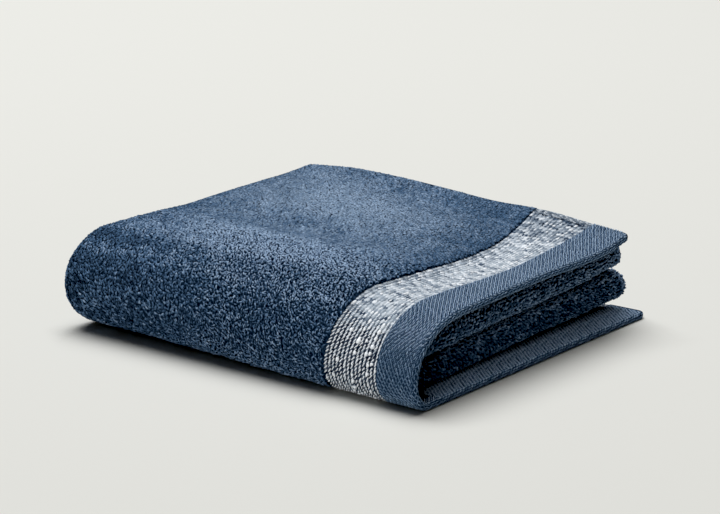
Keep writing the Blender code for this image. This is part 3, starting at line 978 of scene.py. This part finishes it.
yarn_pieces = []
for name, across_range in TERRY_STRIPS.items():
    strip_places = loop_places((TERRY_START, LEFT_FOLD_START), across_range, OUTER_SKIN)
    yarn_pieces.append(loop_piece(name, strip_places, OUTER_SKIN))
left_range = (LEFT_FOLD_START, LEFT_FOLD_STOP + FOLD_REACH)
left_places = loop_places(left_range, (-HALF_WIDTH, FRONT_TO), OUTER_SKIN)
left_under = loop_places(left_range, (FRONT_TO, HALF_WIDTH), OUTER_SKIN, *SPARSE)
left_places = np.concatenate([left_places, left_under])
yarn_pieces.append(loop_piece("terry_left_fold", left_places, OUTER_SKIN))
right_range = (RIGHT_FOLD_START - LIP_REACH, RIGHT_FOLD_STOP + LIP_REACH)
right_places = loop_places(right_range, (-HALF_WIDTH, HALF_WIDTH), INNER_SKIN, *LIP_ROWS)
yarn_pieces.append(loop_piece("terry_right_folds", right_places, INNER_SKIN, smoothed=False, inside=True))

# %% Lay the loops along the selvedges and round the underside
EDGE_BAND = 0.0045
UNDER_BAND = 0.008

edge_places, edge_skins = [], []
for skin in (OUTER_SKIN, INNER_SKIN):
    for low, high in ((-HALF_WIDTH, EDGE_BAND - HALF_WIDTH), (HALF_WIDTH - EDGE_BAND, HALF_WIDTH)):
        made = loop_places((TERRY_START, TOWEL_LENGTH - TERRY_START), (low, high), skin, *SPARSE)
        laid_already = (skin == OUTER_SKIN) & (low < 0) & (made[:, 0] < LEFT_FOLD_STOP)
        made = made[~laid_already]
        edge_places.append(made)
        edge_skins.append(np.full(len(made), skin))
under = loop_places((TERRY_START, LEFT_FOLD_START), (FRONT_TO, HALF_WIDTH - EDGE_BAND), OUTER_SKIN, *SPARSE)
near_edge = (under[:, 0] < TERRY_START + UNDER_BAND) | (under[:, 0] > LEFT_FOLD_START - UNDER_BAND)
near_edge |= under[:, 1] > HALF_WIDTH - UNDER_BAND
edge_places.append(under[near_edge])
edge_skins.append(np.full(near_edge.sum(), OUTER_SKIN))
edge_places, edge_skins = np.concatenate(edge_places), np.concatenate(edge_skins)
yarn_pieces.append(loop_piece("terry_edges", edge_places, edge_skins[:, None], smoothed=False))

# %% [markdown]
# ## The border
# The border is woven flat of white and grey thread. Each of its fourteen rows looks like a rope: slanted
# white grains with grey ones between. The last row, beside the hem, is a little closer. Slubs, the thick
# soft places of an uneven yarn, lie at short distances over two of the rows, and over the others here and
# there. On the level top the grains lie flatter and more grey, a faint net of slanting lines crosses them,
# and painted shade darkens them towards the back. Grains laid one by one give both the ropes and their
# small chance irregularities.

# %% A grain that lies flat on the cloth
GRAIN_DIP = -0.35
GRAIN_LINE = [(-0.5, 0, GRAIN_DIP), (-0.24, 0, 0), (0.24, 0, 0), (0.5, 0, GRAIN_DIP)]
GRAIN_WIDTHS = [0.5, 1.0, 1.0, 0.5]
GRAIN_SIDES = 4

grain_points, grain_faces = yarn_length(GRAIN_LINE, GRAIN_WIDTHS, GRAIN_SIDES)
print("a grain has", len(grain_faces), "faces")


def lay_grains(name, standing, slant, lift, sizes, shade, painted_crown_shade, material):
    """Each grain lies on the cloth and is turned by its slant from the direction across."""
    middle, upright, ahead = standing
    side = np.cross(upright, ahead)
    long_way = np.cos(slant)[:, None] * side + np.sin(slant)[:, None] * ahead
    turns = np.stack([long_way, np.cross(upright, long_way), upright], axis=1)
    places = middle + upright * lift[:, None]
    pick = np.zeros(len(slant), int)
    return lay_yarn(name, grain_points[None], grain_faces, pick, places, turns, sizes, shade, painted_crown_shade, material)


# %% The kinds of grain, and where they lie in a rope
BORDER_ROPES = 14
ROPE_PITCH = BORDER_WIDTH / BORDER_ROPES
WHITE, GREY, SLUB, FINE = range(4)
GRAIN_KINDS = np.array(  # length, width and thickness in millimetres, shade, and slant in radians
    [
        (1.80, 0.58, 0.95, 0.98, 0.46),
        (1.60, 0.56, 0.60, 0.24, 0.46),
        (1.60, 1.55, 1.45, 1.00, 0.20),
        (1.50, 0.60, 0.90, 0.92, 0.30),
    ]
)
SEEN_FLAT = np.array(  # on the level top: how much longer, wider and thicker, and the gain in shade
    [
        (0.56, 1.75, 0.50, -0.36),
        (1.40, 6.60, 0.58, 0.22),
        (0.95, 1.05, 0.55, -0.10),
        (0.75, 1.40, 0.50, -0.14),
    ]
)
GRAIN_STEP = 0.00145
FINE_GRAIN_STEP = 0.0013
FINE_ROPE = 13
ROPE_DRIFT = 0.27
SLUB_ROPES = (7, 11)
SLUB_STEP = 0.0032
SLUB_STEP_ELSEWHERE = 0.030
SLUB_DRIFT = 0.0006
BORDER_TO = 0.020
BORDER_STRIP = 0.0040
GRAIN_SEED = 11
grain_random = np.random.default_rng(GRAIN_SEED)


def rope_grains(rope):
    """The places across and the kinds of the grains of one rope."""
    start, stop = BORDER_STRIP - HALF_WIDTH, BORDER_TO
    step = FINE_GRAIN_STEP if rope == FINE_ROPE else GRAIN_STEP
    white = np.arange(start, stop, step) + (rope * ROPE_DRIFT % 1) * step
    slub_step = SLUB_STEP if rope in SLUB_ROPES else SLUB_STEP_ELSEWHERE
    slub = np.arange(start, stop, slub_step)
    slub = slub + grain_random.normal(0, SLUB_DRIFT, len(slub)) + grain_random.uniform(0, slub_step)
    kinds = {FINE if rope == FINE_ROPE else WHITE: white, GREY: white + step / 2, SLUB: slub}
    return np.concatenate(list(kinds.values())), np.repeat(list(kinds), [len(at) for at in kinds.values()])


# %% Lay the border
GRAIN_STRAY = (0.00006, 0.00012)  # along and across
GRAIN_SPREAD = 0.12
SLUB_SIZES = (0.65, 1.15)
CHANCE_SHADE = 0.20
SLANT_SPREAD = 0.08
GRAIN_LIFT = (0.00010, 0.00003)  # the usual lift, and its spread
FLAT_FROM = 0.6  # how far up the cloth faces where the flatter look begins
CHANCE_LEFT_FLAT = 0.50
NET_SIZE = 0.0022
NET_SEED = 41
NET_LINES = [(-0.839, 0.545, 0.0021), (0.2, 1.0, 0.0060)]  # each a direction on the cloth, and a spacing
NET_SHADE = 0.075
# Painted shade on the border's level top, growing darker towards the back.
PAINTED_SHADE_BEHIND = (0.14, 0.030, 0.062)  # how much, and from where to where in y
# Painted shade by height on the grains: lighter ridges, darker sides and ends.
GRAIN_PAINTED_CROWN = 0.40

grain_along, grain_across, grain_kind = [], [], []
for rope in range(BORDER_ROPES):
    across, kind = rope_grains(rope)
    grain_along.append(np.full_like(across, TERRY_START - (rope + 0.5) * ROPE_PITCH))
    grain_across.append(across)
    grain_kind.append(kind)
grain_along, grain_across, grain_kind = map(np.concatenate, (grain_along, grain_across, grain_kind))
grain_count = len(grain_kind)
grain_along += grain_random.normal(0, GRAIN_STRAY[0], grain_count)
grain_across += grain_random.normal(0, GRAIN_STRAY[1], grain_count)
grain_size = grain_random.normal(1, GRAIN_SPREAD, (grain_count, 3))
grain_size[grain_kind == SLUB] *= grain_random.uniform(*SLUB_SIZES, (np.sum(grain_kind == SLUB), 1))
grain_chance = grain_random.normal(0, CHANCE_SHADE, grain_count)
grain_slant = GRAIN_KINDS[grain_kind, 4] + grain_random.normal(0, SLANT_SPREAD, grain_count)
grain_lift = BORDER_GROUND / 2 + grain_random.normal(*GRAIN_LIFT, grain_count)
grain_standing = on_cloth(grain_along, grain_across)
on_top = between(grain_standing[1][:, 2], FLAT_FROM, 1)
seen_flat = SEEN_FLAT[grain_kind]
grain_sizes = GRAIN_KINDS[grain_kind, :3] * MILLIMETRE * grain_size
grain_sizes *= 1 + (seen_flat[:, :3] - 1) * on_top[:, None]
net = soft_hills(grain_along, grain_across, NET_SIZE, NET_SEED)
for by_along, by_across, spacing in NET_LINES:
    net += np.sin(2 * math.pi * (by_along * grain_along + by_across * grain_across) / spacing)
# painted shade towards the back
painted_shade_behind = dimmed(grain_standing[0][:, 1], *PAINTED_SHADE_BEHIND)
grain_shade = GRAIN_KINDS[grain_kind, 3] + grain_chance * (1 + (CHANCE_LEFT_FLAT - 1) * on_top)
grain_shade += (seen_flat[:, 3] + NET_SHADE * net - painted_shade_behind) * on_top
grain_looks = (grain_slant, grain_lift, grain_sizes, grain_shade, GRAIN_PAINTED_CROWN, border_yarn)
yarn_pieces.append(lay_grains("border_ropes", grain_standing, *grain_looks))

# %% [markdown]
# ## The hem
# The hem is the cloth's end, turned over and sewn down, and woven closer than the border. On the level top
# it shows steep twill lines, and on the turn its rows run straight across. Down the front the floats of
# each rib slant to and fro, so that neighbours meet and part again and leave a net of small dark pits,
# which goes on round the edge. Inside, they slant one way for a few ribs and then the other, like a
# herringbone. One measure that runs over the outer face, round the edge and back inside lets one function
# lay all of them.

# %% The hem's skin, measured from the border over the outer face, round the edge, and back inside
HEM_HALF = HEM_GROUND / 2
EDGE_START = HEM_WIDTH - HEM_HALF
EDGE_STOP = EDGE_START + math.pi * HEM_HALF


def round_the_hem(skin_place, across):
    """The middle point, the outward direction and the one to the border, at places on the hem's skin."""
    along = np.maximum(HEM_WIDTH - skin_place, HEM_HALF) + np.maximum(skin_place - EDGE_STOP, 0)
    middle, upright, ahead = on_cloth(along, across)
    angle = np.clip((skin_place - EDGE_START) / HEM_HALF, 0, math.pi)[:, None]
    outward = np.cos(angle) * upright - np.sin(angle) * ahead
    return middle, outward, np.sin(angle) * upright + np.cos(angle) * ahead


# %% Hem floats
NET_STEP = 0.00126
CHEVRON_STEP = 0.00084
NET_SLANTS = [  # how far up the cloth faces, and the slants of two families of floats in radians
    (-1.0, -0.50, 0.50),
    (0.0, -0.50, 0.50),
    (0.45, 0.10, 0.60),
    (0.80, 0.60, 0.60),
    (0.97, -0.40, -0.40),
    (1.0, -0.50, -0.50),
]
NET_FLOAT = np.array([1.50, 0.50, 0.64]) * MILLIMETRE
CHEVRON_FLOAT = np.array([1.34, 0.70, 0.66]) * MILLIMETRE
# Painted light by slope on the hem: how far up it faces, and the shade painted there, lighter on the level
# top and darker, as if in shade, down the front.
HEM_PAINTED_SHADE_BY_SLOPE = [(-1.0, 0.32), (0.0, 0.17), (0.5, 0.26), (1.0, 0.78)]
WEAK_SHADE = -0.17  # of every other float
WEAK_ON_TOP = 2  # how many times this is added on the level top
# Painted shade by height on the floats: lighter crowns, darker sides and ends.
FLOAT_PAINTED_CROWN = 1.35
FLOAT_CHANCE = 0.09
FLOAT_STRAY = 0.00007
FLOAT_SLANT_SPREAD = 0.10
FLOAT_SPREAD = 0.08
FLOAT_LIFT = 0.00005
FLOAT_INSET = 0.0012
CORNER_INSET = 0.5
CHEVRON_BAND = 0.0042
CHEVRON_SLANTS = (-0.31, -1.02)
CHEVRON_STEPS = (0.0070, 0.0024)  # from one dark line to the next, in each kind of band
CHEVRON_SHADE = 0.19
# Painted shade on the inner face of the lower hem, which lies in the shadow of the folded layers.
INSIDE_PAINTED_SHADE = -0.12
HEM_SEED = 23
hem_random = np.random.default_rng(HEM_SEED)


def hem_places(ribs, across_range, step):
    """The places of the floats over some ribs of the hem's skin, and the family that each is of."""
    in_rib = np.arange(*across_range, step)
    rib, number = np.divmod(np.arange(len(ribs) * len(in_rib)), len(in_rib))
    from_end = np.maximum(HEM_WIDTH - ribs[rib], 0)
    corner = (CORNER_RADIUS - from_end).clip(0, CORNER_RADIUS) * CORNER_INSET
    keep = np.abs(in_rib[number]) < HALF_WIDTH - FLOAT_INSET - corner
    return ribs[rib][keep], in_rib[number][keep], ((rib + number) % 2)[keep]


def hem_piece(name, ribs, across_range, chevrons):
    """A joined piece of floats over some ribs of the hem's skin."""
    skin_place, across, way = hem_places(ribs, across_range, CHEVRON_STEP if chevrons else NET_STEP)
    count = len(across)
    shade = hem_random.normal(0, FLOAT_CHANCE, count)
    moved_place = skin_place + hem_random.normal(0, FLOAT_STRAY, count)
    moved_across = across + hem_random.normal(0, FLOAT_STRAY, count)
    standing = round_the_hem(moved_place, moved_across)
    facing_up = standing[1][:, 2]
    slopes, *families = np.array(NET_SLANTS).T
    slant = np.choose(way, [np.interp(facing_up, slopes, family) for family in families])
    slant += hem_random.normal(0, FLOAT_SLANT_SPREAD, count)
    if chevrons:
        band = np.floor((skin_place - EDGE_START) / CHEVRON_BAND).astype(int) % 2
        slant = np.array(CHEVRON_SLANTS)[band]
        wave = (across + (skin_place - EDGE_START) / np.tan(slant)) / np.array(CHEVRON_STEPS)[band]
        # painted shade on the inner face, and the herringbone's light and dark lines
        shade += INSIDE_PAINTED_SHADE + CHEVRON_SHADE * np.sin(2 * math.pi * wave)
    # painted highlight on the top and painted shade down the front; every other float darker
    shade += read_off(HEM_PAINTED_SHADE_BY_SLOPE, facing_up) + WEAK_SHADE * way * (1 + WEAK_ON_TOP * ease(facing_up))
    sizes = (CHEVRON_FLOAT if chevrons else NET_FLOAT) * hem_random.normal(1, FLOAT_SPREAD, (count, 3))
    lift = np.full(count, HEM_HALF + FLOAT_LIFT)
    return lay_grains(name, standing, slant, lift, sizes, shade, FLOAT_PAINTED_CROWN, hem_yarn)


# %% Lay the hem
FIRST_RIB = 0.0006
RIB_PITCH = 0.00078
INNER_RIB_PITCH = 0.00098
FEW_INSIDE = 3
OUTER_HEM_TO = 0.020

outside_ribs = np.arange(FIRST_RIB, EDGE_START, RIB_PITCH)
edge_ribs = np.arange(outside_ribs[-1] + RIB_PITCH, EDGE_STOP, RIB_PITCH)
inside_ribs = np.arange(edge_ribs[-1] + INNER_RIB_PITCH, EDGE_STOP + EDGE_START - HEM_HALF, INNER_RIB_PITCH)
few_ribs = np.concatenate([edge_ribs, inside_ribs[:FEW_INSIDE]])
many_ribs = np.concatenate([edge_ribs, inside_ribs])
yarn_pieces.append(hem_piece("hem_outside", outside_ribs, (-HALF_WIDTH, OUTER_HEM_TO), False))
yarn_pieces.append(hem_piece("hem_edge", few_ribs, (-HALF_WIDTH, OUTER_HEM_TO), False))
yarn_pieces.append(hem_piece("hem_inside", many_ribs, (OUTER_HEM_TO, HALF_WIDTH), True))

# %% [markdown]
# ## The selvedges
# Along both long sides the loops and the ropes stop a little before the edge, and a narrow strip of plain
# weave keeps the cloth from fraying. Its short floats run along the edge in lines, on both faces of the
# cloth: five lines beside the border, mottled white and blue, and two beside the terry, in blue.

# %% Selvedge floats
STRIP_STEP = 0.00125
STRIP_SIZE = np.array([1.70, 0.80, 0.62]) * MILLIMETRE
STRIP_LINES = [0.00035, 0.00120, 0.00205, 0.00290, 0.00370]  # distances from the edge
TERRY_STRIP_LINES = STRIP_LINES[:2]
EDGE_LINE = 0.0008  # only the first line lies nearer to the edge
EDGE_LIFT = 0.22
STRIP_LIFT = 0.42
BORDER_RISE = 0.00035
STRIP_SLANT_SPREAD = 0.12
STRIP_CHANCE = 0.06
# Painted shade by height on the selvedge floats: lighter crowns, darker sides and ends.
STRIP_PAINTED_CROWN = 0.4


def selvedge_piece(name, along_range, thickness, lines, rise, shades, material):
    """Floats along both selvedges, on both faces of the cloth, over one stretch of its length."""
    along, across, skin = [], [], []
    for side in (-1, 1):
        for face in (OUTER_SKIN, INNER_SKIN):
            for from_edge in lines:
                at = np.arange(*along_range, STRIP_STEP) + hem_random.uniform(0, STRIP_STEP)
                along.append(at)
                across.append(np.full_like(at, side * (HALF_WIDTH - from_edge)))
                skin.append(np.full_like(at, face))
    along, across, skin = map(np.concatenate, (along, across, skin))
    count = len(along)
    lift = thickness * np.where(HALF_WIDTH - np.abs(across) < EDGE_LINE, EDGE_LIFT, STRIP_LIFT) + rise
    slant = math.pi / 2 + hem_random.normal(0, STRIP_SLANT_SPREAD, count)
    shade = hem_random.choice(shades, count) + hem_random.normal(0, STRIP_CHANCE, count)
    sizes = STRIP_SIZE * hem_random.normal(1, FLOAT_SPREAD, (count, 1))
    middle, upright, ahead = on_cloth(along, across)
    standing = (middle, upright * skin[:, None], ahead)
    return lay_grains(name, standing, slant, lift, sizes, shade, STRIP_PAINTED_CROWN, material)


border_look = (BORDER_GROUND, STRIP_LINES, BORDER_RISE, (0.25, 0.38, 0.5), border_yarn)
terry_look = (TERRY_GROUND, TERRY_STRIP_LINES, 0.0, (0.3, 0.45), hem_yarn)
yarn_pieces.append(selvedge_piece("border_selvedge", (HEM_WIDTH, TERRY_START), *border_look))
yarn_pieces.append(selvedge_piece("terry_selvedge", (TERRY_START, TOWEL_LENGTH - TERRY_START), *terry_look))

# %% [markdown]
# ## Tie everything to the frame
# Each piece rides on the towel's one body. The cloth stands for the imported solid, which is hidden. The
# low box in front is told here that it lights only these pieces.

# %% Ride, replace, and link the fill light to the towel
pieces = [piece for piece, _ in yarn_pieces]
print("triangles of yarn", sum(triangles for _, triangles in yarn_pieces))
towel_alone = bpy.data.collections.new("towel_alone")
for piece in [cloth, *pieces]:
    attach(piece, "root")
    towel_alone.objects.link(piece)
bpy.data.objects["fill_box"].light_linking.receiver_collection = towel_alone
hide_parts("towel")
